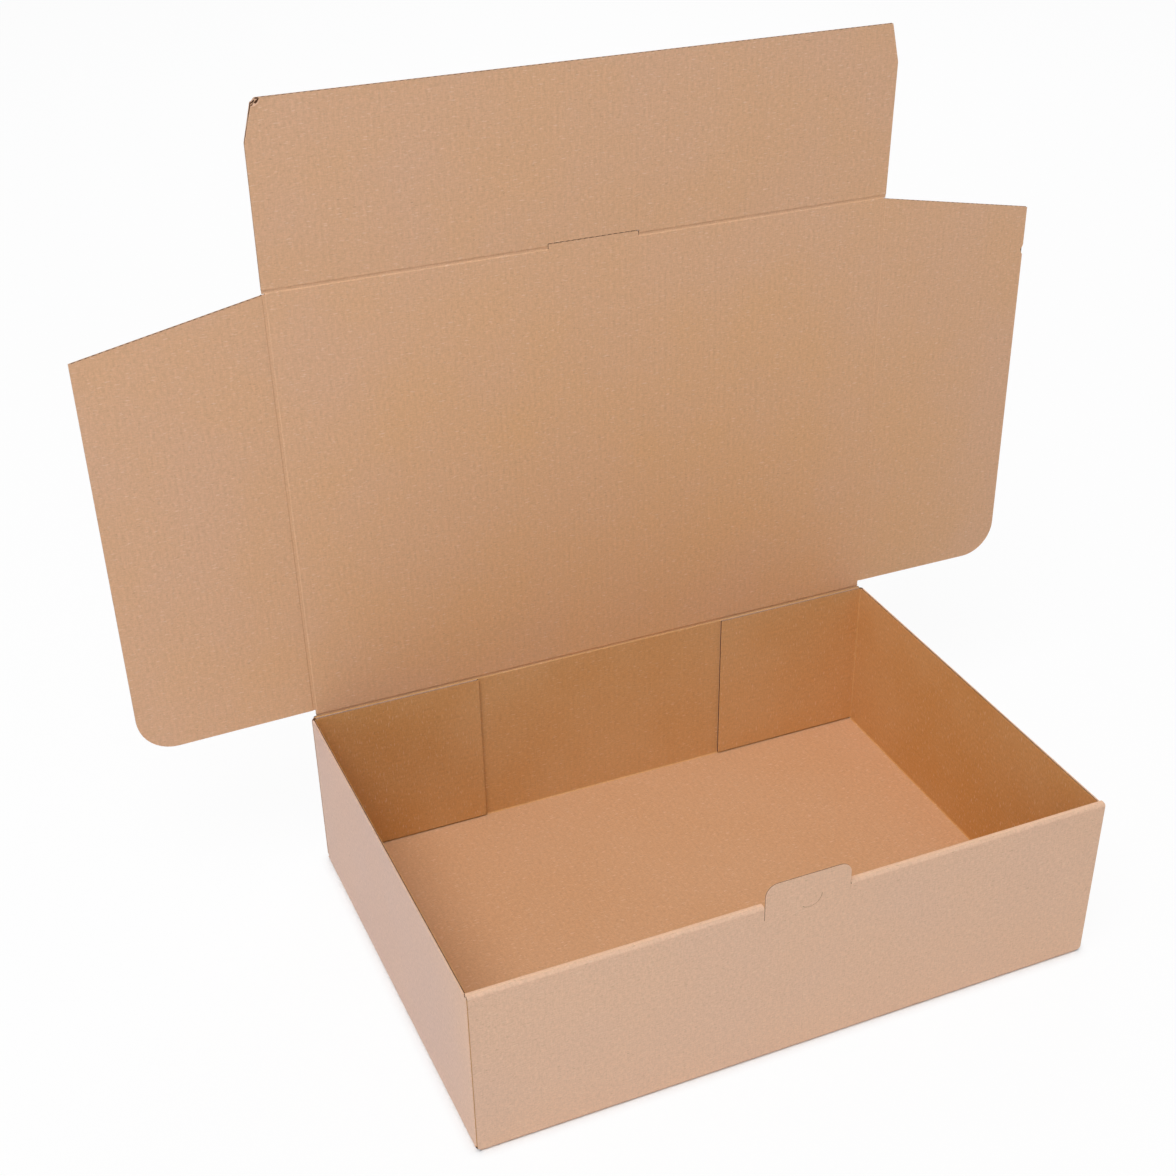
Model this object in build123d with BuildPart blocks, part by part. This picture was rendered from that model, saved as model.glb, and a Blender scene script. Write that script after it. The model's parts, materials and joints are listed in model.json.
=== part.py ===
from build123d import *
import os
from math import cos, radians, sin

os.makedirs("parts", exist_ok=True)

# An open mailing box, die-cut from one sheet of corrugated board, folded and glued.
# Millimetres. The origin is the centre of the tray's underside. The front is towards -Y, up is +Z.

# Board
board = 1.5                  # thickness of the sheet
cut = 0.4                    # width of a cut made by the die's knife
fold_radius = 1.5            # of the board's middle line, where a wall folds up
roll_radius = 0.9            # of the board's middle line, where the front wall rolls over
fold_gap = 0.4               # from a lid or flap crease to the edge of the panel on each side
crease_web = 0.4             # board left under such a crease
crease_run = 0.8             # how far the press mark slopes into the panel
panel_clearance = 0.3        # between two panels that pass each other
lid_clearance = 1.3          # between the inner front wall and the shut lid's front crease

# Tray
length = 350.0               # outside, left to right
width = 250.0                # outside, front to back
front_height = 100.0         # to the top of the rolled-over front wall
side_drop = 1.8              # the side walls stop this far below the front wall
lid_drop = 0.8               # the lid's crease is this far below the front wall's top
wall_inset = 0.4             # front and back walls end this far inside the side walls' faces
corner_flap_width = 96.0     # from the side wall's inner face to the flap's free edge
corner_flap_lift = 2.0       # gap between the floor and a corner flap
corner_clip = 3.0            # cut off the lower corners of the front and back walls
inner_wall_lift = 1.0        # gap between the floor and the inner front wall

# Locking tab
tab_width = 47.0
tab_rise = 12.5              # above the front wall
tab_corner = 6.5
slit_depth = 8.5             # the slits beside the tab, down from the front wall's top
moon_radius = 7.6
moon_drop = 1.0              # centre of the half-moon cut, down from the front wall's top

# Lid and its flaps
lid_lean = 0.9               # degrees, back from upright
flap_root = 4.0              # the side flaps start this far from the lid's crease
flap_width = 95.5
flap_taper = 17.5            # a side flap's front edge falls back this much over its width
flap_corner = 20.0           # its rounded outer corner, at the hinge end
flap_setback = 1.5           # it stops this far short of the tuck flap's crease
left_flap_fold = 2.0         # degrees, inwards from flat
right_flap_fold = 0.0
tuck_height = 91.3
tuck_straight = 71.5         # height of the tuck flap's straight sides
tuck_chamfer = 5.0           # above them it narrows by this much at each side
tuck_fold = 2.5              # degrees, inwards from flat
tab_clearance = 1.5          # between the locking tab's side and the end of its slot in the lid
lip_depth = 2.0              # the lid's lip, which stands in that slot beyond the crease

# Damage
crushed_corner = 2.5         # lost from the tuck flap's upper left corner
nick_height = 199.0          # up the right side flap, from the lid's crease
nick_length = 6.0
nick_depth = 1.4

# Places that follow from the sizes above
half_board = board / 2
half_length = length / 2
half_width = width / 2
side_height = front_height - side_drop
fold_reach = fold_radius + half_board
wall_half = half_length - wall_inset
inner_half = half_length - board
side_mid_x = half_length - half_board
front_mid_y = half_board - half_width
back_mid_y = half_width - half_board
corner_mid_y = back_mid_y - board
front_thickness = 3 * board  # outer wall, corner flap and inner wall
front_inside_y = front_thickness - half_width
inner_wall_y = front_inside_y - half_board
roll_mid_z = front_height - half_board
hinge_z = front_height - lid_drop
tab_half = tab_width / 2
slot_half = tab_half + tab_clearance
# The shut lid's tuck flap hangs just behind the inner front wall, its side flaps inside the side walls.
lid_depth = back_mid_y - half_board - front_inside_y - lid_clearance
lid_half = inner_half - half_board - panel_clearance
tuck_half = inner_half - panel_clearance


# Section of a folded board: its middle line, given the board's thickness
def folded_board(plane, points, radius):
    with BuildSketch(plane) as section:
        with BuildLine():
            FilletPolyline(*points, radius=radius)
        trace(line_width=board)
    return section.sketch


# Section of a side wall and its fold into the floor. The side is 1 on the right and -1 on the left.
def side_wall_section(side):
    return folded_board(
        Plane.XZ.offset(fold_reach - half_width + board),
        [
            (side * (half_length - fold_reach - board), half_board),
            (side * side_mid_x, half_board),
            (side * side_mid_x, side_height),
        ],
        fold_radius,
    )


# Plan of a side wall's fold into a corner flap. The end is 1 at the back and -1 at the front.
def corner_flap_plan(side, end):
    return folded_board(
        Plane.XY.offset(board + corner_flap_lift),
        [
            (side * side_mid_x, end * (corner_mid_y - fold_reach - board)),
            (side * side_mid_x, end * corner_mid_y),
            (side * (inner_half - corner_flap_width), end * corner_mid_y),
        ],
        fold_radius,
    )


# The two wedges that a crease presses out of a panel's edge, drawn across the crease
def crease_wedges(start, into_panel, along_crease):
    shoulder = fold_gap + crease_run
    with BuildSketch(Plane(origin=start, x_dir=into_panel, z_dir=along_crease)) as wedges:
        for face in (1, -1):
            with BuildLine():
                Polyline(
                    (0, face * crease_web / 2),
                    (fold_gap, face * crease_web / 2),
                    (shoulder, face * half_board),
                    (shoulder, face * board),
                    (0, face * board),
                    close=True,
                )
            make_face()
    return wedges.sketch


# Tray: floor, walls, corner flaps, rolled-over front wall and locking tab, all one sheet
front_face = Plane.XZ.offset(half_width)
roll_over = [
    (fold_reach + board - half_width, half_board),
    (front_mid_y, half_board),
    (front_mid_y, roll_mid_z),
    (inner_wall_y, roll_mid_z),
    (inner_wall_y, board + inner_wall_lift),
]
back_wall = [
    (half_width - fold_reach - board, half_board),
    (back_mid_y, half_board),
    (back_mid_y, hinge_z - fold_gap),
]
slit_bottom = front_height - slit_depth
tab_top = front_height + tab_rise
# The tab was cut out of the roll-over, so its window reaches as far down as the tab stands up.
window_bottom = front_height + board - tab_rise
window_half = tab_half + cut

with BuildPart() as tray:
    with BuildSketch():
        Rectangle(length - 2 * fold_reach, width - 2 * fold_reach)
    extrude(amount=board)
    wall_end = Plane.YZ.offset(-wall_half)
    extrude(folded_board(wall_end, roll_over, [fold_radius, roll_radius, roll_radius]), amount=2 * wall_half)
    extrude(folded_board(wall_end, back_wall, fold_radius), amount=2 * wall_half)

    # The inner front wall drops between the side walls, so its ends are shorter
    with BuildSketch(Plane.XZ.offset(-front_inside_y)):
        for side in (-1, 1):
            with Locations((side * inner_half, front_height / 2)):
                Rectangle(2 * board, front_height - 2 * board)
    extrude(amount=2 * board, mode=Mode.SUBTRACT)

    # Lower corners of the front and back walls
    with BuildSketch(front_face):
        for side in (-1, 1):
            with BuildLine():
                Polyline(
                    (side * (wall_half - corner_clip), 0),
                    (side * wall_half, corner_clip),
                    (side * wall_half, 0),
                    close=True,
                )
            make_face()
    extrude(amount=-width, mode=Mode.SUBTRACT)

    for side in (-1, 1):
        extrude(side_wall_section(side), amount=2 * (half_width - fold_reach - board))
        extrude(corner_flap_plan(side, 1), amount=side_height - board - corner_flap_lift)
        extrude(
            corner_flap_plan(side, -1),
            amount=front_height - 2 * board - corner_flap_lift - panel_clearance,
        )

    # Window that the tab leaves in the top fold and in the inner wall
    with BuildSketch(front_face):
        with Locations((0, slit_bottom)):
            Rectangle(2 * window_half, 2 * slit_depth, align=(Align.CENTER, Align.MIN))
    extrude(amount=-front_thickness, mode=Mode.SUBTRACT)
    with BuildSketch(Plane.XZ.offset(-front_inside_y)) as window:
        with Locations((0, window_bottom)):
            Rectangle(2 * window_half, tab_rise, align=(Align.CENTER, Align.MIN))
        fillet(window.vertices().group_by(Axis.Y)[0], radius=tab_corner)
    extrude(amount=board, mode=Mode.SUBTRACT)

    # The tab stands straight up from the outer front wall, between its two slits
    with BuildSketch(front_face) as tab:
        with Locations((0, slit_bottom)):
            Rectangle(tab_width, tab_top - slit_bottom, align=(Align.CENTER, Align.MIN))
        fillet(tab.vertices().group_by(Axis.Y)[-1], radius=tab_corner)
    extrude(amount=-board)

    # Half-moon cut
    with BuildSketch(front_face):
        with BuildLine():
            CenterArc((0, front_height - moon_drop), moon_radius, 180, 180)
        trace(line_width=cut)
    extrude(amount=-board, mode=Mode.SUBTRACT)

    # Crease along the back wall's top, where the lid hinges
    extrude(
        crease_wedges((-half_length, back_mid_y, hinge_z), (0, 0, -1), (1, 0, 0)),
        amount=length,
        mode=Mode.SUBTRACT,
    )

# Lid panel. Its plane lies in the middle of the board: x to the right, y up the lid, z to its inner face.
lid_plane = Plane(
    origin=(0, back_mid_y, hinge_z),
    x_dir=(1, 0, 0),
    z_dir=(0, -cos(radians(lid_lean)), sin(radians(lid_lean))),
)
lid_edge = lid_half - fold_gap
flap_length = lid_depth - flap_setback - flap_root

with BuildPart() as lid_panel:
    with BuildSketch(lid_plane):
        with Locations((0, fold_gap)):
            Rectangle(2 * lid_edge, lid_depth - 2 * fold_gap, align=(Align.CENTER, Align.MIN))
            Rectangle(2 * slot_half, lid_depth + lip_depth - fold_gap, align=(Align.CENTER, Align.MIN))
    extrude(amount=half_board, both=True)

    # Hinge crease
    hinge_start = lid_plane.from_local_coords((-half_length, 0, 0))
    extrude(
        crease_wedges(hinge_start, lid_plane.y_dir, lid_plane.x_dir),
        amount=length,
        mode=Mode.SUBTRACT,
    )
    # Tuck flap crease, on each side of the lip, and side flap creases
    for side in (-1, 1):
        tuck_start = lid_plane.from_local_coords((side * slot_half, lid_depth, 0))
        extrude(
            crease_wedges(tuck_start, lid_plane.y_dir * -1, lid_plane.x_dir * side),
            amount=lid_half,
            mode=Mode.SUBTRACT,
        )
        flap_start = lid_plane.from_local_coords((side * lid_half, flap_root, 0))
        extrude(
            crease_wedges(flap_start, lid_plane.x_dir * -side, lid_plane.y_dir),
            amount=flap_length,
            mode=Mode.SUBTRACT,
        )

# Tuck flap, in front of the lid
tuck_plane = Plane(lid_plane.location * Location((0, lid_depth, 0), (tuck_fold, 0, 0)))

with BuildPart() as lid_tuck_flap:
    with BuildSketch(tuck_plane) as tuck_outline:
        with BuildLine():
            Polyline(
                (-tuck_half, fold_gap),
                (-tuck_half, tuck_straight),
                (tuck_chamfer - tuck_half, tuck_height),
                (tuck_half - tuck_chamfer, tuck_height),
                (tuck_half, tuck_straight),
                (tuck_half, fold_gap),
                close=True,
            )
        make_face()
        chamfer(tuck_outline.vertices().group_by(Axis.Y)[-1].sort_by(Axis.X)[0], length=crushed_corner)
        Rectangle(2 * (slot_half + cut), 2 * (lip_depth + cut), mode=Mode.SUBTRACT)
    extrude(amount=half_board, both=True)
    for side in (-1, 1):
        tuck_start = tuck_plane.from_local_coords((side * slot_half, 0, 0))
        extrude(
            crease_wedges(tuck_start, tuck_plane.y_dir, tuck_plane.x_dir * side),
            amount=lid_half,
            mode=Mode.SUBTRACT,
        )


# Plane of a side flap, folded inwards from flat about its crease
def flap_plane(side, fold):
    return Plane(lid_plane.location * Location((side * lid_half, 0, 0), (0, -side * fold, 0)))


# A side flap, flat, with a tapered front edge and one rounded corner
def flap_outline(plane, side):
    with BuildSketch(plane) as outline:
        with BuildLine():
            Polyline(
                (side * fold_gap, flap_root),
                (side * flap_width, flap_root),
                (side * flap_width, flap_root + flap_length - flap_taper),
                (side * fold_gap, flap_root + flap_length),
                close=True,
            )
        make_face()
        fillet(outline.vertices().sort_by(Axis.X)[::side][-2:].sort_by(Axis.Y)[0], radius=flap_corner)
    return outline.sketch


left_plane = flap_plane(-1, left_flap_fold)
right_plane = flap_plane(1, right_flap_fold)

with BuildPart() as lid_side_flap_left:
    extrude(flap_outline(left_plane, -1), amount=half_board, both=True)
    extrude(
        crease_wedges(left_plane.from_local_coords((0, 0, 0)), left_plane.x_dir * -1, left_plane.y_dir),
        amount=lid_depth,
        mode=Mode.SUBTRACT,
    )

with BuildPart() as lid_side_flap_right:
    extrude(flap_outline(right_plane, 1), amount=half_board, both=True)
    extrude(
        crease_wedges(right_plane.from_local_coords((0, 0, 0)), right_plane.x_dir, right_plane.y_dir),
        amount=lid_depth,
        mode=Mode.SUBTRACT,
    )
    # Nick in the outer edge
    with BuildSketch(right_plane):
        with BuildLine():
            Polyline(
                (flap_width + 1, nick_height - nick_length / 2),
                (flap_width - nick_depth, nick_height),
                (flap_width + 1, nick_height + nick_length / 2),
                close=True,
            )
        make_face()
    extrude(amount=board, both=True, mode=Mode.SUBTRACT)

pieces = {
    "tray": tray,
    "lid_panel": lid_panel,
    "lid_tuck_flap": lid_tuck_flap,
    "lid_side_flap_left": lid_side_flap_left,
    "lid_side_flap_right": lid_side_flap_right,
}
for name, piece in pieces.items():
    piece.part.label = name
    export_step(piece.part, f"parts/{name}.step")
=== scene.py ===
# %% [markdown]
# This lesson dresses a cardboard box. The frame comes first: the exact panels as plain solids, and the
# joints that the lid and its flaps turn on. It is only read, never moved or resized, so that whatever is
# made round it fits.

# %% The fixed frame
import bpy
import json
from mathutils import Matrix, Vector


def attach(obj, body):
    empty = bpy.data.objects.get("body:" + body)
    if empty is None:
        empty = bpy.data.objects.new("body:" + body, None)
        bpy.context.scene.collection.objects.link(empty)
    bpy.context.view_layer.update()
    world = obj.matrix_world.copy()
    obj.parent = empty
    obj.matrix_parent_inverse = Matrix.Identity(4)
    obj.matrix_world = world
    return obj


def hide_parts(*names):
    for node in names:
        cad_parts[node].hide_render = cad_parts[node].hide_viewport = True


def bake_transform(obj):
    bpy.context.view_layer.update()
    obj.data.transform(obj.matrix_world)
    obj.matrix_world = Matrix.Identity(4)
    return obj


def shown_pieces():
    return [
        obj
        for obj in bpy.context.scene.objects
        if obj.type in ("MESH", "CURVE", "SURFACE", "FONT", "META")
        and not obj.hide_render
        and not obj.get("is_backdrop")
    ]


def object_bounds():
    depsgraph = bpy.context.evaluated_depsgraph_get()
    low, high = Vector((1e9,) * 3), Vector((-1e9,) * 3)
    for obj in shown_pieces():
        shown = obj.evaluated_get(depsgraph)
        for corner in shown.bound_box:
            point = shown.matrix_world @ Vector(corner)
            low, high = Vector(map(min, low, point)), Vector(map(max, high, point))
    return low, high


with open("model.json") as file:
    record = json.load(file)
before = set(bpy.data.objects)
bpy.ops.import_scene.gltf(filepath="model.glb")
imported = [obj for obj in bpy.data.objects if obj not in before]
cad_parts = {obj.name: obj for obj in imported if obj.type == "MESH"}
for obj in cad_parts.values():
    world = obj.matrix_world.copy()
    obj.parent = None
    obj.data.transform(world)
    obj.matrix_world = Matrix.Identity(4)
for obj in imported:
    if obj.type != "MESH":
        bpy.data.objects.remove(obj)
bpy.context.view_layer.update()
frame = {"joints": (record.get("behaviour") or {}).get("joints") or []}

# %% [markdown]
# The object is an open mailing box, die-cut from one sheet of brown corrugated board and folded. The
# frame's solid panels could just be painted, but a cut edge of corrugated board shows three papers: two
# flat liners and a waved one between them. So each panel is made again here, the way the board is made.
# Beside a crease the board is pressed to an edge that is thinner than the rest.

# %% Tools and sizes
import json
from math import atan2, ceil, cos, pi, radians, sin

import bmesh
import bpy
from mathutils import Matrix, Vector

METRE = 0.001               # lengths below are in millimetres, and pieces are put in place in metres

BOARD = 1.5                 # whole thickness
HALF = BOARD / 2
LINER = 0.2                 # each flat paper
MEDIUM = 0.16               # the waved paper
PITCH = 3.3                 # from one wave to the next
WAVE_STEPS = 8

GAP = 0.5                   # from a crease's line to the panel's pressed edge
PRESSED = 0.7               # board left at that edge
RUN = 0.6                   # how far the pressed edge slopes up to the full board
SOLID_FROM = GAP + RUN
print("board", BOARD, "mm, pressed to", PRESSED, "mm beside a crease")

X, Y, Z = Vector((1, 0, 0)), Vector((0, 1, 0)), Vector((0, 0, 1))


# %% [markdown]
# Each panel is drawn flat, in its own plane, and then stood up. In that plane x runs across the flutes,
# y along them, and z is the panel's normal. A 4 x 4 matrix with those three directions and an origin
# puts it in place, so the same few tools serve the floor, the walls, the lid and the flaps.

# %% Planes of the panels
def plane(origin, across, along):
    normal = across.cross(along)
    placed = Matrix((across, along, normal)).transposed().to_4x4()
    placed.translation = Vector(origin)
    return Matrix.Scale(METRE, 4) @ placed


joints = {joint["name"]: joint for joint in frame["joints"]}


def crease_point(name):
    return Vector(joints[name]["pos_m"]) / METRE


hinge = crease_point("lid_hinge")
lid_up = (crease_point("tuck_fold") - hinge).normalized()
lid_depth = (crease_point("tuck_fold") - hinge).length
lid_half = crease_point("right_flap_fold").x
lid_normal = X.cross(lid_up)
lid_plane = plane(hinge, X, lid_up)
print("lid", round(lid_depth, 2), "deep and", round(2 * lid_half, 2), "wide")


# %% [markdown]
# A piece is built up from closed parts: papers, folds and edges. Each part is shaped by itself, closed,
# put in place and joined to the piece. Before it goes in place, it writes where it lies in the sheet into
# a UV map, so the finish knows which way the flutes run on each panel. Keeping the parts separate is
# simpler than welding them, and real board is layered too. Five finishes are numbered here and made
# further down.

# %% Joining parts into a piece
# The fourth finish, the band's, is a painted highlight, and the fifth, the tray floor's, is painted shade.
INSIDE, OUTSIDE, CUT, BAND_PAINTED_HIGHLIGHT, FLOOR_PAINTED_SHADE = range(5)
SAME_POINT = 1e-5


def new_piece():
    piece = bmesh.new()
    piece.loops.layers.uv.new("Sheet")
    return piece


def everything(part):
    return part.verts[:] + part.edges[:] + part.faces[:]


def close_and_face_out(part):
    bmesh.ops.remove_doubles(part, verts=part.verts[:], dist=SAME_POINT)
    open_edges = [edge for edge in part.edges if len(edge.link_faces) == 1]
    if open_edges:
        bmesh.ops.holes_fill(part, edges=open_edges, sides=0)
    bmesh.ops.recalc_face_normals(part, faces=part.faces[:])


def add_part(piece, part, placed, sheet_point=lambda point: point.xy):
    layer = part.loops.layers.uv.new("Sheet")
    for face in part.faces:
        for loop in face.loops:
            loop[layer].uv = sheet_point(loop.vert.co) * METRE
    part.transform(placed)
    mesh = bpy.data.meshes.new("part")
    part.to_mesh(mesh)
    part.free()
    piece.from_mesh(mesh)
    bpy.data.meshes.remove(mesh)


print("finishes are numbered", INSIDE, "to", FLOOR_PAINTED_SHADE)


# %% [markdown]
# A die cuts each panel with rounded corners where it would catch. An outline is written as its corners,
# with a radius where one is rounded, and a bevel of that corner makes the arc. Its points could be worked
# out with sines, but the operator does it for any angle.

# %% Outlines with rounded corners
CORNER_CUTS = 10


def box_outline(x0, x1, y0, y1):
    return [(x0, y0), (x1, y0), (x1, y1), (x0, y1)]


def rounded(outline):
    """The outline's points, once each corner that is given with a radius has been rounded."""
    flat = bmesh.new()
    corners = [flat.verts.new((x, y, 0)) for x, y, *_ in outline]
    face = flat.faces.new(corners)
    for vert, (_, _, *radius) in zip(corners, outline):
        if radius:
            bmesh.ops.bevel(flat, geom=[vert], affect="VERTICES", offset_type="ABSOLUTE", offset=radius[0],
                            segments=CORNER_CUTS, profile=0.5, material=-1, clamp_overlap=False)
    flat.faces.ensure_lookup_table()
    points = [tuple(vert.co.xy) for vert in flat.faces[0].verts]
    flat.free()
    return points


print("a square with a rounded corner has", len(rounded([(0, 0), (9, 0), (9, 9, 4), (0, 9)])), "points")


# %% [markdown]
# A liner is a flat sheet of paper. Scan-fill turns its outline, and any slot in it, into faces, and
# solidify gives them the paper's thickness. The two liners of a board have different finishes, because
# the outer paper is paler.

# %% Sheets of paper
def sheet_of(outline, low, high, finish, slot=None):
    part = bmesh.new()
    corners = [part.verts.new((x, y, 0)) for x, y in rounded(outline)]
    for pair in zip(corners, corners[1:] + corners[:1]):
        part.edges.new(pair)
    if slot:
        slot(part)
    bmesh.ops.triangle_fill(part, use_beauty=True, use_dissolve=False, edges=part.edges[:], normal=Z)
    bmesh.ops.recalc_face_normals(part, faces=part.faces[:])
    bmesh.ops.solidify(part, geom=everything(part), thickness=high - low)
    low_now = min(vert.co.z for vert in part.verts)
    bmesh.ops.translate(part, verts=part.verts[:], vec=(0, 0, low - low_now))
    close_and_face_out(part)
    for face in part.faces:
        face.material_index = finish
    return part


sample = sheet_of(box_outline(0, PITCH, 0, PITCH), 0, LINER, INSIDE)
print("a square of liner has", len(sample.faces), "faces once it has its thickness")
sample.free()


# %% [markdown]
# The waved paper starts as a long grid, eight strips to a wave, whose points are lifted along a sine.
# Cutting planes along the outline's edges trim it, which works for any outline with no inward corner,
# and solidify gives it the paper's thickness. It stays a hair inside the cut, so it never pokes out.

# %% The waved paper
WAVE_CLEARANCE = 0.01
WAVE_HEIGHT = HALF - LINER - MEDIUM / 2 - WAVE_CLEARANCE
KNIFE = 0.06                # from the outline to the waved paper's end
LEVEL = 1e-4                # edges nearer to level or upright than this need no cutting plane


def waved_paper(outline):
    outline = rounded(outline)
    xs, ys = [x for x, y in outline], [y for x, y in outline]
    first, last = min(xs) + KNIFE, max(xs) - KNIFE
    steps = ceil((last - first) / PITCH * WAVE_STEPS)
    part = bmesh.new()
    bmesh.ops.create_grid(part, x_segments=steps, y_segments=1, size=0.5)
    bmesh.ops.scale(part, verts=part.verts[:], vec=(last - first, max(ys) - min(ys) - 2 * KNIFE, 1))
    middle = Vector(((first + last) / 2, (min(ys) + max(ys)) / 2, 0))
    bmesh.ops.translate(part, verts=part.verts[:], vec=middle)
    for vert in part.verts:
        vert.co.z = WAVE_HEIGHT * sin(2 * pi * vert.co.x / PITCH)
    for (x0, y0), (x1, y1) in zip(outline, outline[1:] + outline[:1]):
        if abs(x0 - x1) < LEVEL or abs(y0 - y1) < LEVEL:
            continue
        outward = Vector((y1 - y0, x0 - x1, 0)).normalized()
        if outward.dot(Vector((x0, y0, 0)) - middle) < 0:
            outward.negate()
        bmesh.ops.bisect_plane(part, geom=everything(part), plane_no=outward, clear_outer=True,
                               plane_co=Vector((x0, y0, 0)) - outward * KNIFE)
    bmesh.ops.recalc_face_normals(part, faces=part.faces[:])
    bmesh.ops.solidify(part, geom=everything(part), thickness=MEDIUM)
    shift = (min(v.co.z for v in part.verts) + max(v.co.z for v in part.verts)) / 2
    bmesh.ops.translate(part, verts=part.verts[:], vec=(0, 0, -shift))
    bmesh.ops.recalc_face_normals(part, faces=part.faces[:])
    for face in part.faces:
        face.material_index = CUT
    return part


print("a wave stands", round(2 * WAVE_HEIGHT, 2), "mm high between the liners")


# %% [markdown]
# A board is then two liners with waved paper between them. An outline with an inward corner is fluted in
# several pieces that have none.

# %% Board
def board(piece, placed, outline, fluted=None, upper=INSIDE, lower=OUTSIDE):
    add_part(piece, sheet_of(outline, HALF - LINER, HALF, upper), placed)
    add_part(piece, sheet_of(outline, -HALF, LINER - HALF, lower), placed)
    for convex in fluted or [outline]:
        add_part(piece, waved_paper(convex), placed)


print("papers add up to", round(2 * LINER + MEDIUM, 2), "mm in a board of", BOARD, "mm")


# %% [markdown]
# Where a panel meets a crease, the press has flattened the board to a thin edge. It is a small prism: its
# end face is drawn with four points and extruded along the crease.

# %% Pressed edges
FACING = 0.5                # a face whose normal has more than this in a direction is taken to face it


def pressed_edge(piece, placed, start, into, length_along):
    """into is the unit direction from the crease into the panel, and length_along the edge's vector."""
    length_along = Vector((*length_along, 0))
    part = bmesh.new()
    section = ((GAP, -PRESSED / 2), (SOLID_FROM, -HALF), (SOLID_FROM, HALF), (GAP, PRESSED / 2))
    into, origin = Vector((*into, 0)), Vector((*start, 0))
    corners = [part.verts.new(origin + into * s + Z * h) for s, h in section]
    end_face = part.faces.new(corners)
    grown = bmesh.ops.extrude_face_region(part, geom=[end_face], use_keep_orig=True)
    moved = [item for item in grown["geom"] if isinstance(item, bmesh.types.BMVert)]
    bmesh.ops.translate(part, verts=moved, vec=length_along)
    close_and_face_out(part)
    for face in part.faces:
        up = face.normal.z
        face.material_index = INSIDE if up > FACING else OUTSIDE if up < -FACING else CUT
    add_part(piece, part, placed)


print("a pressed edge slopes from", PRESSED, "to", BOARD, "mm")


# %% [markdown]
# Where a wall is folded up for good, the crushed board goes round a quarter turn: a rectangle, spun about
# the fold's axis. Bending a flat panel with a modifier would do too, but a spin gives the radius exactly.
# A fold can be clipped by planes at its ends, and the flutes run round it or along it.

# %% Folds
FOLD_STEPS = 8


def fold(piece, centre, axis, start, length, radius, clip=(), round_flutes=True, finish=OUTSIDE):
    """A quarter turn of crushed board about axis, from the direction start. Its length is along axis."""
    tangent = axis.cross(start)
    placed = Matrix.Scale(METRE, 4) @ Matrix.Translation(centre) \
        @ Matrix((axis, start, tangent)).transposed().to_4x4()
    part = bmesh.new()
    ring = ((0, radius - HALF), (length, radius - HALF), (length, radius + HALF), (0, radius + HALF))
    first = part.faces.new([part.verts.new((x, y, 0)) for x, y in ring])
    bmesh.ops.spin(part, geom=[*first.verts, *first.edges, first], cent=(0, 0, 0), axis=X,
                   angle=pi / 2, steps=FOLD_STEPS)
    close_and_face_out(part)
    for point, direction in clip:
        local = placed.inverted()
        bmesh.ops.bisect_plane(part, geom=everything(part), clear_outer=True,
                               plane_co=local @ (Vector(point) * METRE),
                               plane_no=(local.to_3x3() @ Vector(direction)).normalized())
        close_and_face_out(part)
    for face in part.faces:
        middle = face.calc_center_median()
        outside = Vector((middle.y, middle.z)).length > radius
        is_end = abs(face.normal.x) > FACING
        face.material_index = CUT if is_end else finish if outside else INSIDE
        face.smooth = not is_end

    def round_the_fold(point):
        turned = radius * atan2(point.z, point.y)
        return Vector((point.x, turned)) if round_flutes else Vector((turned, point.x))

    add_part(piece, part, placed, round_the_fold)


print("a fold turns in", FOLD_STEPS, "steps")


# %% [markdown]
# A finished piece becomes one object, at the origin. It rides on the body that it turns with and stands
# for that body's plain solid. Edges that turn by more than the angle below stay sharp, so the curved
# folds look smooth and the flat paper beside them stays flat.

# %% Finishing a piece
SHARP = radians(35)


def finish_piece(piece, name, body, nodes=()):
    for edge in piece.edges:
        edge.smooth = edge.is_manifold and edge.calc_face_angle() < SHARP
    mesh = bpy.data.meshes.new(name)
    piece.to_mesh(mesh)
    piece.free()
    made = bpy.data.objects.new(name, mesh)
    bpy.context.scene.collection.objects.link(made)
    if body:
        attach(made, body)
    if nodes:
        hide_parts(*nodes)
    mesh.calc_loop_triangles()
    print(name, len(mesh.loop_triangles), "triangles")
    return made


print("edges stay sharp where they turn by", round(SHARP, 2), "radians or more")


# %% [markdown]
# The lid is the plainest panel. Its front edge has a short lip beside the slot for the locking tab.
# Next to the lip, and along its sides and its hinge, it ends in a pressed edge. What comes in pairs is
# made in a loop over hand, which is -1 on the left and 1 on the right.

# %% The lid
SLOT_HALF = 25.0
LIP = 2.0
FLUTE_OVERLAP = 0.5         # the lip's waved paper starts this far inside the lid's
KNIFE_CUT = 0.4             # left open by a cut between two panels

side, front, lip_front = lid_half - SOLID_FROM, lid_depth - SOLID_FROM, lid_depth + LIP
lid = new_piece()
lid_outline = [(-side, SOLID_FROM), (side, SOLID_FROM), (side, front), (SLOT_HALF, front),
               (SLOT_HALF, lip_front), (-SLOT_HALF, lip_front), (-SLOT_HALF, front), (-side, front)]
lip_flutes = box_outline(-SLOT_HALF, SLOT_HALF, front - FLUTE_OVERLAP, lip_front)
board(lid, lid_plane, lid_outline, [box_outline(-side, side, SOLID_FROM, front), lip_flutes])
edge = lid_half - GAP
pressed_edge(lid, lid_plane, (-edge, 0), (0, 1), (2 * edge, 0))
for hand in (-1, 1):
    beside_lip = (hand * (edge - SLOT_HALF), 0)
    pressed_edge(lid, lid_plane, (hand * lid_half, SOLID_FROM), (-hand, 0), (0, front - SOLID_FROM))
    pressed_edge(lid, lid_plane, (hand * SLOT_HALF, lid_depth), (0, -1), beside_lip)
finish_piece(lid, "lid_board", "lid", ["lid_panel"])
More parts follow.
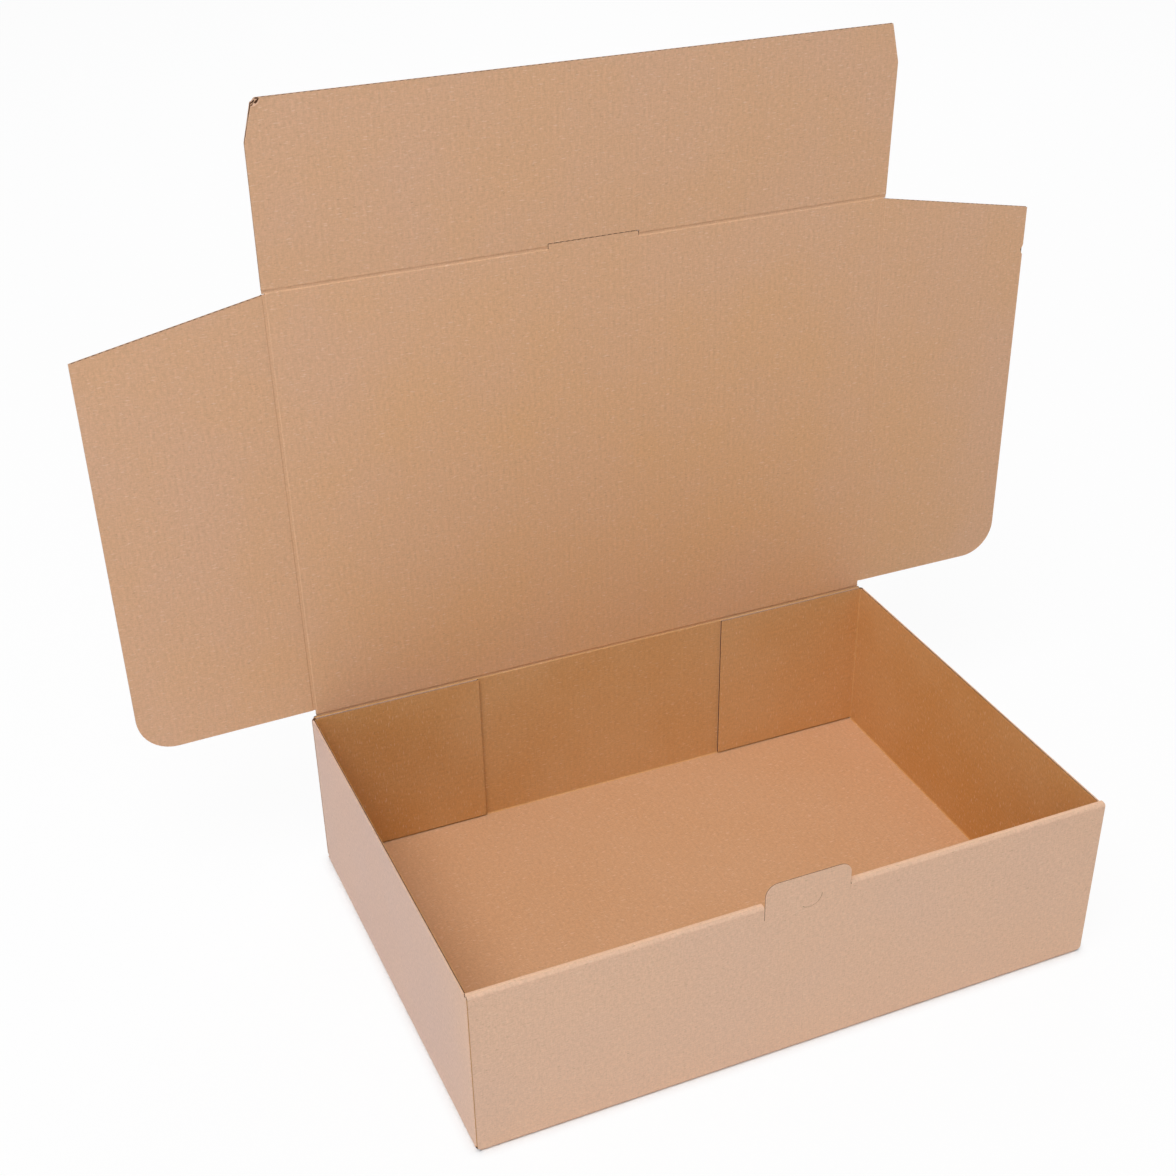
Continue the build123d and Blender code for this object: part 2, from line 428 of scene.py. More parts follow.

# %% [markdown]
# The tuck flap narrows towards its free edge so that it slides into the tray, and its foot is notched for
# the lid's lip. Its upper left corner has been crushed: the two liners end at different ragged lines
# there, with the waved paper showing between. The ragged lines are drawn with a few points each.

# %% The tuck flap
TUCK_HALF, TUCK_TOP_HALF = 173.2, 168.2
TUCK_SHOULDER, TUCK_TOP = 71.5, 91.3
TUCK_LEAN = radians(2.5)

tuck_up = lid_up * cos(TUCK_LEAN) + lid_normal * sin(TUCK_LEAN)
tuck_plane = plane(crease_point("tuck_fold"), X, tuck_up)
notch = SLOT_HALF + KNIFE_CUT
above_notch = LIP + KNIFE_CUT
tuck_base = [(-notch, SOLID_FROM), (-notch, above_notch), (notch, above_notch), (notch, SOLID_FROM),
             (TUCK_HALF, SOLID_FROM), (TUCK_HALF, TUCK_SHOULDER), (TUCK_TOP_HALF, TUCK_TOP)]
crushed_inner = [(-164.6, TUCK_TOP), (-165.1, 90.2), (-166.3, 90.6), (-167.0, 89.4), (-168.3, 88.9)]
crushed_outer = [(-166.2, TUCK_TOP), (-166.9, 90.8), (-167.6, 89.9), (-168.6, 89.4)]
left_side = [(-TUCK_HALF, TUCK_SHOULDER), (-TUCK_HALF, SOLID_FROM)]
tuck = new_piece()
for torn, low, high, finish in ((crushed_inner, HALF - LINER, HALF, INSIDE),
                                (crushed_outer, -HALF, LINER - HALF, OUTSIDE)):
    add_part(tuck, sheet_of(tuck_base + torn + left_side, low, high, finish), tuck_plane)
fluted = [(-TUCK_HALF, above_notch), (TUCK_HALF, above_notch), (TUCK_HALF, TUCK_SHOULDER),
          (TUCK_TOP_HALF, TUCK_TOP), (-165.6, TUCK_TOP), (-168.5, 89.2), (-TUCK_HALF, TUCK_SHOULDER)]
add_part(tuck, waved_paper(fluted), tuck_plane)
for hand in (-1, 1):
    pressed_edge(tuck, tuck_plane, (hand * notch, 0), (0, 1), (hand * (TUCK_HALF - notch), 0))
print("tuck flap", round(2 * TUCK_HALF, 1), "wide and", TUCK_TOP, "deep")

# %% [markdown]
# Paper is torn at the crushed corner. Two slivers have come loose: each is a small grid, drawn to a point
# and bent up. Below them the inner liner has opened: a dark tear, a thin sheet of the dark cut finish as
# painted shade for the opening, with a pale lifted edge beside it, raised and given the band's painted
# highlight.

# %% The crushed corner
SLIVER_TURN = radians(222)
SLIVER_POINT = 0.7          # how much narrower a sliver is at its end
TEAR_DEPTH, LIFTED = 0.05, 0.2


def torn_sliver(start, length, width, curl, lift):
    """A sliver of liner that has come loose at the crushed corner and curls away from the board."""
    part = bmesh.new()
    bmesh.ops.create_grid(part, x_segments=6, y_segments=2, size=0.5)
    bmesh.ops.scale(part, verts=part.verts[:], vec=(length, width, 1))
    for vert in part.verts:
        along = vert.co.x / length + 0.5
        vert.co.y *= 1 - SLIVER_POINT * along
        vert.co.z = curl * along * along
    bmesh.ops.solidify(part, geom=everything(part), thickness=LINER)
    bmesh.ops.recalc_face_normals(part, faces=part.faces[:])
    turn = Matrix.Rotation(SLIVER_TURN, 3, "Z")
    bmesh.ops.rotate(part, verts=part.verts[:], cent=(0, 0, 0), matrix=turn)
    bmesh.ops.translate(part, verts=part.verts[:], vec=(*start, lift))
    for face in part.faces:
        face.material_index = OUTSIDE
        face.smooth = True
    add_part(tuck, part, tuck_plane)


torn_sliver((-166.4, 89.2), 3.6, 1.5, 0.8, HALF - LINER)
torn_sliver((-167.0, 89.8), 2.6, 1.1, -0.3, 0.1)
painted_shade_tear = [(-169.0, 87.8), (-166.9, 88.3), (-165.3, 89.3), (-164.2, 91.2), (-165.4, 90.6), (-167.2, 89.2)]
lifted_edge_painted_highlight = [(-168.8, 87.4), (-166.8, 87.7), (-164.9, 88.8), (-163.9, 90.4), (-165.3, 89.3),
               (-166.9, 88.3)]
# A thin dark sheet as painted shade for the opened liner, and a raised pale edge with a painted highlight.
add_part(tuck, sheet_of(painted_shade_tear, HALF, HALF + TEAR_DEPTH, CUT), tuck_plane)
add_part(tuck, sheet_of(lifted_edge_painted_highlight, HALF, HALF + LIFTED, BAND_PAINTED_HIGHLIGHT), tuck_plane)
finish_piece(tuck, "tuck_flap_board", "tuck_flap", ["lid_tuck_flap"])

# %% [markdown]
# The side flaps taper towards the front and have one rounded corner, which keeps them from catching when
# the lid goes down. The right flap has a nick in its outer edge, a small bite out of both liners. The
# left flap leans in by two degrees, as in the photograph, and the right one is flat.

# %% The side flaps
FLAP_WIDTH, FLAP_ROOT = 95.5, 4.0       # the root is how far from the hinge a flap starts
FLAP_CORNER, FLAP_TAPER, FLAP_SETBACK = 20.0, 17.5, 1.5

flap_front = lid_depth - FLAP_SETBACK


def flap_front_at(x):
    return flap_front - FLAP_TAPER * x / FLAP_WIDTH


nick = [(FLAP_WIDTH, 196.2), (FLAP_WIDTH - 0.9, 197.4), (FLAP_WIDTH - 1.5, 199.3),
        (FLAP_WIDTH - 0.6, 200.4), (FLAP_WIDTH, 202.0)]
flap_start = [(SOLID_FROM, FLAP_ROOT), (FLAP_WIDTH, FLAP_ROOT, FLAP_CORNER)]
flap_end = [(FLAP_WIDTH, flap_front_at(FLAP_WIDTH)), (SOLID_FROM, flap_front_at(SOLID_FROM))]

for name, hand, lean, bite in (("left_flap", -1, 2.0, []), ("right_flap", 1, 0.0, nick)):
    angle = radians(lean)
    across = X * cos(angle) + lid_normal * hand * sin(angle)
    flap_plane = plane(crease_point(name + "_fold"), across, lid_up)
    flap = new_piece()
    whole = [(hand * x, *rest) for x, *rest in flap_start + flap_end]
    bitten = [(hand * x, *rest) for x, *rest in flap_start + bite + flap_end]
    board(flap, flap_plane, bitten, [whole])
    pressed_edge(flap, flap_plane, (0, FLAP_ROOT), (hand, 0), (0, flap_front - FLAP_ROOT))
    node = "lid_side_flap_" + name.removesuffix("_flap")
    finish_piece(flap, name + "_board", name, [node])

# %% [markdown]
# The tray is the same sheet, folded up. Its floor and walls are boards, joined by quarter-turn folds. The
# front wall is doubled: it rolls over a flat band and comes down inside, and the corner flaps of the side
# walls are trapped between its two layers. At the back the corner flaps are glued to the inside of the
# wall. Everything is one piece, because nothing in it moves once it is glued. Along the top of each side
# wall the knife has pressed the outer liner in, and a thin dark line by the inner one is painted shade for
# the gap at the cut.

# %% Floor and side walls
LENGTH_HALF, WIDTH_HALF = 175.0, 125.0
FRONT_TOP, SIDE_TOP = 100.0, 98.2
BEND = 1.5                  # a fold's radius at the middle of the board
OUTER_BEND = BEND + HALF
CRUSHED = 0.4               # how far in from a cut the knife has crushed the board
# The dark line is painted shade for the gap at the cut.
PAINTED_SHADE_LINE = 0.5              # the dark line's width


def edge_with_painted_shade_line(piece, placed, outline, inner_side):
    """The outer liner pressed in along a cut, with a dark line of painted shade on inner_side, which is 1
    or -1.
    """
    between = HALF - LINER
    pale = sorted((-inner_side * between, inner_side * (between - PAINTED_SHADE_LINE)))
    dark = sorted((inner_side * (between - PAINTED_SHADE_LINE), inner_side * between))
    add_part(piece, sheet_of(outline, *pale, OUTSIDE), placed)
    add_part(piece, sheet_of(outline, *dark, CUT), placed)


tray = new_piece()
floor_x, floor_y = LENGTH_HALF - OUTER_BEND, WIDTH_HALF - OUTER_BEND
side_y = floor_y - BOARD
# The floor's upper face takes the tray floor's painted-shade finish.
board(tray, plane((0, 0, HALF), X, Y), box_outline(-floor_x, floor_x, -floor_y, floor_y), upper=FLOOR_PAINTED_SHADE)

for hand in (-1, 1):
    side_plane = plane((hand * (LENGTH_HALF - HALF), 0, 0), Z, Y)
    faces = (INSIDE, OUTSIDE)[::hand]
    top_edge = SIDE_TOP - CRUSHED
    board(tray, side_plane, box_outline(OUTER_BEND, SIDE_TOP, -side_y, side_y),
          [box_outline(OUTER_BEND, top_edge, -side_y, side_y)], *faces)
    edge_with_painted_shade_line(tray, side_plane, box_outline(top_edge, SIDE_TOP, -side_y, side_y), hand)
    fold(tray, (hand * floor_x, hand * floor_y, OUTER_BEND), -Y * hand, -Z, 2 * floor_y, BEND,
         round_flutes=False)
print("side walls", round(SIDE_TOP - OUTER_BEND, 2), "high above their folds")

# %% [markdown]
# The back wall carries the lid's hinge. The lower corners of the front and back walls are clipped, so
# that the folds can pass each other, and the back wall's upper corners have lost a small corner too.

# %% Back wall
WALL_HALF = 174.6           # the front and back walls are this little narrower than the box
CLIP = 3.0                  # height at which a clipped lower corner ends
CORNER_CLIP = (1.4, 2.0)    # in and down, at an upper corner
BACK_TOP = hinge.z - SOLID_FROM


def clip_planes(y):
    return [((hand * WALL_HALF, y, CLIP), (hand, 0, -1)) for hand in (-1, 1)]


def clipped_wall(top):
    clip_x = WALL_HALF - (CLIP - OUTER_BEND)
    return [(-clip_x, OUTER_BEND), (clip_x, OUTER_BEND), (WALL_HALF, CLIP), (WALL_HALF, top),
            (-WALL_HALF, top), (-WALL_HALF, CLIP)]


back_plane = plane((0, WIDTH_HALF - HALF, 0), X, Z)
back_outline = clipped_wall(BACK_TOP)
clip_in, clip_down = CORNER_CLIP
back_half = WALL_HALF - clip_in
back_outline[3:5] = [(WALL_HALF, BACK_TOP - clip_down), (back_half, BACK_TOP),
                     (-back_half, BACK_TOP), (-WALL_HALF, BACK_TOP - clip_down)]
board(tray, back_plane, back_outline)
pressed_edge(tray, back_plane, (-back_half, hinge.z), (0, -1), (2 * back_half, 0))
fold(tray, (-WALL_HALF, floor_y, OUTER_BEND), X, -Z, 2 * WALL_HALF, BEND, clip_planes(WIDTH_HALF))
print("back wall", round(BACK_TOP, 2), "high")

# %% [markdown]
# Each side wall turns through a rounded vertical fold into a corner flap at both ends. The flutes go
# round that fold, so on the corner flaps they lie level. At the flap's free edge a thin strip of the dark
# cut finish closes their ends: painted shade for the dark line there. One loop makes all four flaps.

# %% Corner flaps
FLAP_EDGE = 77.5
FLAP_FOOT = 2.5

for hand in (-1, 1):
    for end in (-1, 1):
        centre_x, centre_y = hand * (LENGTH_HALF - OUTER_BEND), end * side_y
        axis = Z * hand * end
        low = OUTER_BEND if hand * end > 0 else SIDE_TOP
        fold(tray, (centre_x, centre_y, low), axis, X * hand, SIDE_TOP - OUTER_BEND, BEND)
        flap_plane = plane((0, end * (side_y + BEND), 0), Z, X)
        reach = sorted((hand * FLAP_EDGE, centre_x))
        finishes = (OUTSIDE, INSIDE)[::end]
        board(tray, flap_plane, box_outline(FLAP_FOOT, SIDE_TOP, *reach), None, *finishes)
        # A flush strip of the dark cut finish at the free edge: painted shade for the dark line there.
        free_edge = sorted((hand * (FLAP_EDGE + KNIFE), hand * (FLAP_EDGE + CRUSHED)))
        crushed = box_outline(FLAP_FOOT, SIDE_TOP, *free_edge)
        add_part(tray, sheet_of(crushed, LINER - HALF, HALF - LINER, CUT), flap_plane)
print("corner flaps reach in to", FLAP_EDGE, "from the middle")

# %% [markdown]
# The locking tab is cut out of the roll-over: it keeps standing when the wall rolls inwards, and leaves
# a window in the band and in the inner wall. Two slits free its sides a little further down: the left
# one gapes and the right one is nearly shut. The tab is crushed thin, and its cut edge is one fine dark
# line behind the outer paper: a sheet of painted shade, backed by the tray floor's painted-shade finish.
# Of the half-moon at its foot only the right part stands open. Its outline is one short edge spun round,
# with the faces taken away again, so that scan-fill leaves it open.

# %% Front wall and locking tab
TAB_HALF, TAB_TOP, TAB_CORNER = 23.5, 112.5, 6.5
SLIT_FOOT = 91.5
LEFT_SLIT, RIGHT_SLIT = 0.3, 0.1
# The tab's dark line is a sheet of painted shade, and its backing takes the tray floor's painted-shade
# finish.
TAB_PAINTED_SHADE_LINE, TAB_BACKING = 0.35, 0.35      # the dark line at the tab's cut edge, and the paper behind it
MOON_X, MOON_Z, MOON_RADIUS = 1.0, 98.8, 6.7
MOON_CUT, MOON_OPEN = 0.3, radians(125)
ROLL = 0.9                  # radius of the band's two tight bends

wall_top = FRONT_TOP - HALF - ROLL
front_y = HALF - WIDTH_HALF


def half_moon(part):
    radii = (MOON_RADIUS + MOON_CUT / 2, MOON_RADIUS - MOON_CUT / 2)
    ends = [part.verts.new((MOON_X + radius, MOON_Z, 0)) for radius in radii]
    bmesh.ops.spin(part, geom=[*ends, part.edges.new(ends)], cent=(MOON_X, MOON_Z, 0), axis=Z,
                   angle=-MOON_OPEN, steps=2 * CORNER_CUTS)
    bmesh.ops.delete(part, geom=part.faces[:], context="FACES_KEEP_BOUNDARY")


foot = clipped_wall(wall_top)
left, right = -TAB_HALF - LEFT_SLIT, TAB_HALF + RIGHT_SLIT
tab = [(TAB_HALF, SLIT_FOOT), (TAB_HALF, TAB_TOP, TAB_CORNER), (-TAB_HALF, TAB_TOP, TAB_CORNER),
       (-TAB_HALF, SLIT_FOOT)]
right_of_tab = [(right, wall_top), (right, SLIT_FOOT)]
left_of_tab = [(left, SLIT_FOOT), (left, wall_top)]
front_plane = plane((0, front_y, 0), X, Z)
with_tab = foot[:4] + right_of_tab + tab + left_of_tab + foot[4:]
without_tab = foot[:4] + right_of_tab + left_of_tab + foot[4:]
core = HALF - LINER - TAB_PAINTED_SHADE_LINE
for outline, low, high, finish, slot in ((with_tab, HALF - LINER, HALF, OUTSIDE, half_moon),
                                         (without_tab, -HALF, LINER - HALF, INSIDE, None),
                                         (tab, core, HALF - LINER, CUT, None),
                                         (tab, core - TAB_BACKING, core, FLOOR_PAINTED_SHADE, None)):
    add_part(tray, sheet_of(outline, low, high, finish, slot), front_plane)
for convex in (foot[:3] + [(WALL_HALF, SLIT_FOOT), (-WALL_HALF, SLIT_FOOT), foot[5]],
               box_outline(right, WALL_HALF, SLIT_FOOT, wall_top),
               box_outline(-WALL_HALF, left, SLIT_FOOT, wall_top)):
    add_part(tray, waved_paper(convex), front_plane)
fold(tray, (WALL_HALF, -floor_y, OUTER_BEND), -X, -Z, 2 * WALL_HALF, BEND, clip_planes(-WIDTH_HALF))
print("the tab stands", TAB_TOP - FRONT_TOP, "above the front wall")

# %% [markdown]
# Over the corner flaps the wall rolls inwards in two tight bends with a flat band between them, and comes
# down inside. The band is broken by the tab's window, so each side of it is made by itself.

# %% The rolled-over band and the inner wall
WINDOW_HALF, WINDOW_FOOT = TAB_HALF + KNIFE_CUT, 89.0
INNER_HALF, INNER_FOOT = 173.2, 2.5

inner_y = front_y + 2 * BOARD
for hand in (-1, 1):
    band_length = WALL_HALF - WINDOW_HALF
    band_end = WALL_HALF if hand > 0 else -WINDOW_HALF
    fold(tray, (band_end, front_y + ROLL, wall_top), -X, -Y, band_length, ROLL)
    # The band and its back bend take the band's painted highlight finish.
    fold(tray, (band_end, inner_y - ROLL, wall_top), -X, Z, band_length, ROLL, finish=BAND_PAINTED_HIGHLIGHT)
    band = box_outline(band_end - band_length, band_end, front_y + ROLL, inner_y - ROLL)
    add_part(tray, sheet_of(band, -HALF, HALF, BAND_PAINTED_HIGHLIGHT), plane((0, 0, FRONT_TOP - HALF), X, Y))

window = [(WINDOW_HALF, wall_top), (WINDOW_HALF, WINDOW_FOOT, TAB_CORNER),
          (-WINDOW_HALF, WINDOW_FOOT, TAB_CORNER), (-WINDOW_HALF, wall_top)]
inner_outline = [(-INNER_HALF, INNER_FOOT), (INNER_HALF, INNER_FOOT), (INNER_HALF, wall_top),
                 *window, (-INNER_HALF, wall_top)]
inner_fluted = [box_outline(-INNER_HALF, INNER_HALF, INNER_FOOT, WINDOW_FOOT),
                box_outline(-INNER_HALF, -WINDOW_HALF, WINDOW_FOOT, wall_top),
                box_outline(WINDOW_HALF, INNER_HALF, WINDOW_FOOT, wall_top)]
board(tray, plane((0, inner_y, 0), X, Z), inner_outline, inner_fluted, INSIDE, OUTSIDE)
tray = finish_piece(tray, "tray_board", "tray", ["tray"])

# %% [markdown]
# At each crease the paper runs on from one panel to the next, as a strip divided across its width. The
# hinge and the tuck flap's crease are pressed hard, so their strips are thin and lie deep, and show as
# dark lines. The side flaps' creases are soft: their strips are nearly as thick as the board.

# %% Paper across the creases
HARD, MEDIUM_HARD, LEFT_SOFT, SOFT = 0.6, 0.85, 1.1, 1.2        # thickness of the strips
STRIP_HALF_WIDTH = 0.95
STRIP_DIVISIONS = 10


def crease_strip(name, corner_point, across, along, length, thickness):
    part = bmesh.new()
    section = box_outline(-STRIP_HALF_WIDTH, STRIP_HALF_WIDTH, 0, length)
    part.faces.new([part.verts.new((x, y, 0)) for x, y in section])
    cross_edges = [edge for edge in part.edges if edge.verts[0].co.y == edge.verts[1].co.y]
    bmesh.ops.subdivide_edges(part, edges=cross_edges, cuts=STRIP_DIVISIONS - 1)
    bmesh.ops.solidify(part, geom=everything(part), thickness=thickness)
    shift = sum(vert.co.z for vert in part.verts) / len(part.verts)
    bmesh.ops.translate(part, verts=part.verts[:], vec=(0, 0, -shift))
    bmesh.ops.recalc_face_normals(part, faces=part.faces[:])
    for face in part.faces:
        face.smooth = abs(face.normal.z) > FACING
        face.material_index = INSIDE if face.normal.z > FACING else OUTSIDE
    piece = new_piece()
    add_part(piece, part, plane(corner_point, across, along))
    strip = finish_piece(piece, name, None)
    start = (corner_point - across * GAP) * METRE
    end = (corner_point + across * GAP) * METRE
    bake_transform(strip)


tuck_point = crease_point("tuck_fold")
crease_strip("hinge_crease", hinge + X * edge, lid_up, -X, 2 * edge, HARD)
for name, hand, softness in (("left", -1, LEFT_SOFT), ("right", 1, SOFT)):
    first_x = -notch if hand < 0 else TUCK_HALF
    crease_strip(f"tuck_crease_{name}", tuck_point + X * first_x, lid_up, -X,
                 TUCK_HALF - notch, MEDIUM_HARD)
    flap_point = crease_point(f"{name}_flap_fold")
    low_end = flap_point + lid_up * (FLAP_ROOT if hand > 0 else flap_front)
    crease_strip(f"{name}_flap_crease", low_end, X * hand, lid_up * hand,
                 flap_front - FLAP_ROOT, softness)

# %% [markdown]
# Brown kraft paper is never one colour. It drifts between pinker and more orange over a few centimetres,
# and short pale and dark fibres lie over it, most of them along or across the machine's direction. The
# flutes show through the liner as faint broken lines. An image could be wrapped on, but noise on the
# sheet's own coordinates is sharp at any distance. The classes below let it be written as plain sums.

# %% A small language for shader maths
MIX_FIRST, MIX_SECOND, MIX_RESULT = 6, 7, 2     # a mix node's colours, among its many sockets


class Socket:
    def __init__(self, nodes, socket):
        self.nodes, self.socket = nodes, socket

    def maths(self, operation, *others):
        values = [self, *others]
        return self.nodes.node("ShaderNodeMath", {"operation": operation}, dict(enumerate(values)))

    def __add__(self, other):
        return self.maths("ADD", other)

    def __mul__(self, other):
        return self.maths("MULTIPLY", other)

    __radd__, __rmul__ = __add__, __mul__

    def between(self, low, high):
        return self.nodes.node("ShaderNodeMapRange", {"interpolation_type": "SMOOTHSTEP"},
                               {"Value": self, "From Min": low, "From Max": high})


class Nodes:
    """The nodes of a material, or of the sky."""

    def __init__(self, tree):
        self.tree = tree

    def node(self, kind, settings=None, sockets=None, output=0):
        made = self.tree.nodes.new(kind)
        for key, value in (settings or {}).items():
            setattr(made, key, value)
        for key, value in (sockets or {}).items():
            self.set(made.inputs[key], value)
        return Socket(self, made.outputs[output])

    def set(self, target, value):
        if isinstance(value, Socket):
            self.tree.links.new(value.socket, target)
        else:
            target.default_value = value


print("a mix node's colours are its sockets", MIX_FIRST, "and", MIX_SECOND)

# %% [markdown]
# A material adds to that the few things the papers share: a mix of two colours, a noise, and relief.
# Marks are a noise stretched along or across the flutes, faded in between two of its levels. So each kind
# of mark on the paper is one line of numbers.

# %% What the papers share
class Material(Nodes):
    def __init__(self, name):
        self.data = bpy.data.materials.new(name)
        self.data.use_nodes = True
        super().__init__(self.data.node_tree)
        self.surface = self.tree.nodes["Principled BSDF"]

    def mix(self, factor, first, second):
        colours = {"Factor": factor, MIX_FIRST: first, MIX_SECOND: second}
        return self.node("ShaderNodeMix", {"data_type": "RGBA"}, colours, MIX_RESULT)

    def noise(self, vector, scale, detail=3.0, roughness=0.5):
        sockets = {"Vector": vector, "Scale": scale, "Detail": detail, "Roughness": roughness}
        return self.node("ShaderNodeTexNoise", None, sockets)

    def marks(self, vector, stretch, noise, levels):
        """stretch is two scales and a shift, noise a scale, detail and roughness, levels a fade."""
        across, along, shift = stretch
        sockets = {"Vector": vector, "Scale": (across, along, 1.0), "Location": (shift, shift, 0.0)}
        stretched = self.node("ShaderNodeMapping", None, sockets)
        return self.noise(stretched, *noise).between(*levels)

    def finish(self, target, value):
        self.set(self.surface.inputs[target], value)

    def relief(self, height, strength, depth):
        sockets = {"Strength": strength, "Distance": depth, "Height": height}
        self.finish("Normal", self.node("ShaderNodeBump", None, sockets))


GRAIN = ((1.0, 1.0, 0.7), (1150.0, 2.0, 0.7), (0.3, 0.7))
STROKES_ACROSS = ((0.28, 1.0, 0.0), (1450.0, 2.0, 0.6), (0.36, 0.64))
STROKES_ALONG = ((1.0, 0.25, 0.37), (1300.0, 2.0, 0.6), (0.36, 0.64))
BREAKS = ((1.0, 0.8, 0.61), (170.0, 3.0, 0.5), (0.42, 0.68))
SPECKS = ((0.45, 1.4, 0.31), (800.0, 1.0, 0.5), (0.64, 0.78))
PALE_FIBRES = ((0.30, 1.4, 0.83), (900.0, 1.0, 0.5), (0.62, 0.74))
print("a fibre is about", round(PALE_FIBRES[0][1] / PALE_FIBRES[0][0], 1), "times as long as it is wide")

# %% [markdown]
# One recipe makes all the liners. A base tone mixes the pinker and the more orange brown. It may also
# warm with distance from a point, and that warming is painted light and shade: painted orange bounce
# light towards a soft spot on the lid above the tray, painted shade inside the tray towards its corners,
# and painted cool light on the outside at its left wall, warmer away from it. Grain and two sets of
# strokes, one along and one across the flutes, darken it. The highest peaks of two more noises are dark
# specks and pale fibres.

# %% The two liners
PER_METRE = 2 * pi / (PITCH * METRE)            # how far the waves' angle turns in a metre
DRIFT_SCALE, DRIFT_LEVELS = 17.0, (0.30, 0.70)
DARKEST = 0.78              # the paper's tone where grain and strokes are darkest
GRAIN_WEIGHT, ACROSS_WEIGHT, ALONG_WEIGHT = 0.24, 0.34, 0.28
SPECK, SPECK_WEIGHT = (0.340, 0.190, 0.105, 1), 0.28
FIBRE, FIBRE_WEIGHT = (0.900, 0.680, 0.500, 1), 0.36
ROUGH, ROUGH_GRAIN, PAPER_SHINE = 0.74, 0.12, 0.28
RELIEF_STRENGTH, RELIEF_DEPTH = 0.35, 0.00006
STROKE_RELIEF, FLUTE_RELIEF = 0.3, 4.0


def shade(colour, factor):
    return (*(channel * factor for channel in colour[:3]), 1)


def kraft(name, pinker, oranger, flute_strength, drifting=0.5, painted_light_place=None):
    """The last argument is a point, and the two distances from it between which the paper turns warmer:
    painted light and shade by place.
    """
    paper = Material(name)
    sheet = paper.node("ShaderNodeUVMap", {"uv_map": "Sheet"})
    place = paper.node("ShaderNodeTexCoord", output="Object")
    drift_and_painted_light = paper.noise(place, DRIFT_SCALE).between(*DRIFT_LEVELS) * drifting
    # Warming with distance from the given point is painted light and shade, on top of the paper's own
    # random drift.
    if painted_light_place:
        centre, begins, ends = painted_light_place
        two_points = {0: place, 1: centre}
        away = paper.node("ShaderNodeVectorMath", {"operation": "DISTANCE"}, two_points, "Value")
        drift_and_painted_light = drift_and_painted_light + away.between(begins, ends) * (1 - drifting)
    base = paper.mix(drift_and_painted_light, pinker, oranger)
    dark_base = paper.mix(drift_and_painted_light, shade(pinker, DARKEST), shade(oranger, DARKEST))
    grain = paper.marks(place, *GRAIN)
    strokes_across = paper.marks(sheet, *STROKES_ACROSS)
    strokes_along = paper.marks(sheet, *STROKES_ALONG)
    across = paper.node("ShaderNodeSeparateXYZ", None, {0: sheet})
    flute = (across * PER_METRE).maths("SINE") * paper.marks(sheet, *BREAKS)
    tone = (grain * GRAIN_WEIGHT + strokes_across * ACROSS_WEIGHT + strokes_along * ALONG_WEIGHT
            + flute * flute_strength)
    colour = paper.mix(tone, base, dark_base)
    colour = paper.mix(paper.marks(sheet, *SPECKS) * SPECK_WEIGHT, colour, SPECK)
    colour = paper.mix(paper.marks(sheet, *PALE_FIBRES) * FIBRE_WEIGHT, colour, FIBRE)
    paper.finish("Base Color", colour)
    paper.finish("Roughness", grain * ROUGH_GRAIN + ROUGH)
    height = (strokes_across * STROKE_RELIEF + grain * STROKE_RELIEF
              + flute * (FLUTE_RELIEF * flute_strength))
    paper.relief(height, RELIEF_STRENGTH, RELIEF_DEPTH)
    paper.finish("Specular IOR Level", PAPER_SHINE)
    return paper


# Painted orange bounce light on the lid, and painted cool light at the tray's left wall.
PAINTED_BOUNCE_ON_THE_LID, PAINTED_COOL_LIGHT_AT_THE_LEFT = (0.02, 0.125, 0.13), (-0.30, 0.05, 0.05)
inner_paper = kraft("kraft_inside", (0.760, 0.462, 0.290, 1), (0.784, 0.453, 0.230, 1), 0.14,
                    0.4, painted_light_place=(PAINTED_BOUNCE_ON_THE_LID, 0.30, 0.07))
outer_paper = kraft("kraft_outside", (0.761, 0.527, 0.413, 1), (0.855, 0.558, 0.382, 1), 0.06,
                    0.2, painted_light_place=(PAINTED_COOL_LIGHT_AT_THE_LEFT, 0.16, 0.24))
print("a liner's finish has", len(inner_paper.tree.nodes), "nodes")


# %% [markdown]
# The waved paper shows only at cut edges, where it is fuzzy from the knife and painted dark: painted
# shade for the light that gets lost between the liners. It has no fibres to see, so two noises are enough.

# %% Cut edges
FUZZ_SCALE, PATCH_SCALE = 2400.0, 160.0
EDGE_ROUGH, EDGE_ROUGH_FUZZ, EDGE_SHINE = 0.85, 0.1, 0.2
EDGE_RELIEF_STRENGTH, EDGE_RELIEF_DEPTH = 0.4, 0.00005


def cut_paper(name, pale, dark):
    rim = Material(name)
    place = rim.node("ShaderNodeTexCoord", output="Object")
    fuzz = rim.noise(place, FUZZ_SCALE, 3.0, 0.6)
    patches = rim.noise(place, PATCH_SCALE, 2.0)
    tone = fuzz.between(0.3, 0.7) * 0.5 + patches.between(0.35, 0.65) * 0.5
    rim.finish("Base Color", rim.mix(tone, pale, dark))
    rim.finish("Roughness", fuzz * EDGE_ROUGH_FUZZ + EDGE_ROUGH)
    rim.relief(fuzz, EDGE_RELIEF_STRENGTH, EDGE_RELIEF_DEPTH)
    rim.finish("Specular IOR Level", EDGE_SHINE)
    return rim


# These near-black tones are painted shade, on every cut face, fold end and dark strip.
edge_paper_painted_shade = cut_paper("cut_edge_painted_shade", (0.15, 0.072, 0.038, 1), (0.06, 0.026, 0.013, 1))
print("the cut edge's finish has", len(edge_paper_painted_shade.tree.nodes), "nodes")

# %% [markdown]
# The band at the front is the outer liner, painted paler: a painted highlight where it faces up to the
# overhead lamp. Inside the tray the inner liner is painted warmer and darker, most of all on the walls,
# which see little but each other: painted shade and painted orange bounce light. So the tray has its own
# inside finishes, shaded copies of the inner liner. Every piece gets all five, in the order of the numbers
# its faces carry.

# %% The band, the tray's inside, and painting
# Painted shade inside the tray grows with distance from this point, towards its corners.
PAINTED_SHADE_IN_THE_TRAY = (0.03, 0.12, 0.09)
